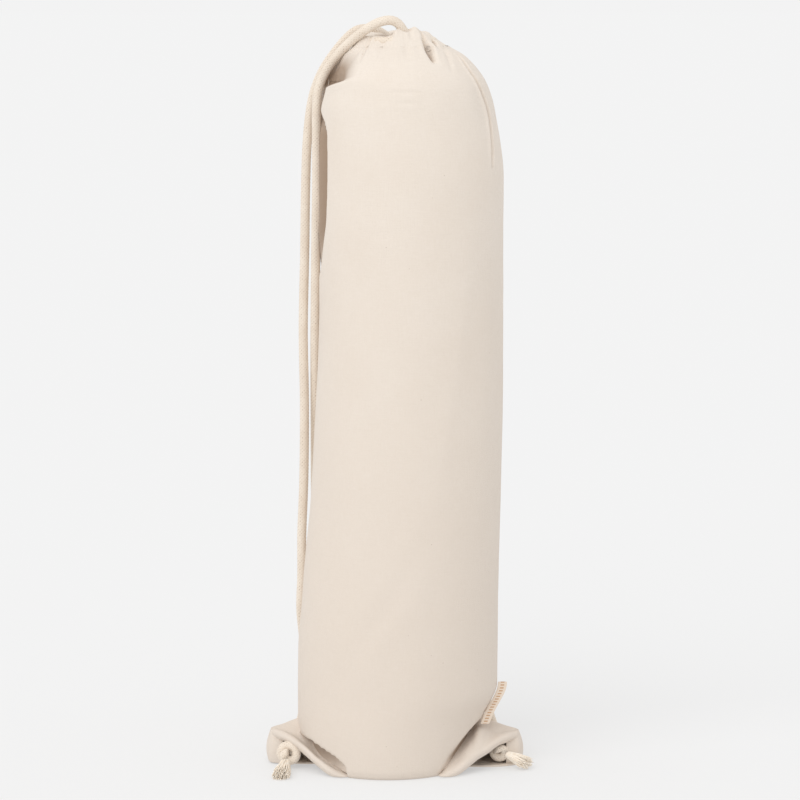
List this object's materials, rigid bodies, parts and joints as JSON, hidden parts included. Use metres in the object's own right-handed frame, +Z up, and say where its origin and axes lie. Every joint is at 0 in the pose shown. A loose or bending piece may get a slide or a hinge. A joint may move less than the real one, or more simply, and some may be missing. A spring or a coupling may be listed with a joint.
{
  "type": "yoga mat bag",
  "caption": "Tall cotton canvas drawstring bag for a rolled mat, standing upright, with cords that run to knotted bottom corners.",
  "frame": {"origin": "middle of the base, on the surface that the bag stands on", "axes": "+Z up along the bag, +X to the right of the bag's front, -Y to the front"},
  "size_m": [0.2487, 0.1807, 0.697],
  "materials": {
    "canvas": "natural unbleached cotton canvas, matt, fine plain weave",
    "cord": "natural braided cotton cord, matt",
    "label": "smooth woven tape, matt"
  },
  "bodies": {
    "root": {"bag_body": "canvas", "tunnel_hem": "canvas", "left_cord": "cord", "right_cord": "cord", "left_knot": "cord", "right_knot": "cord", "left_tail": "cord", "right_tail": "cord", "side_label": "label"}
  },
  "joints": []
}
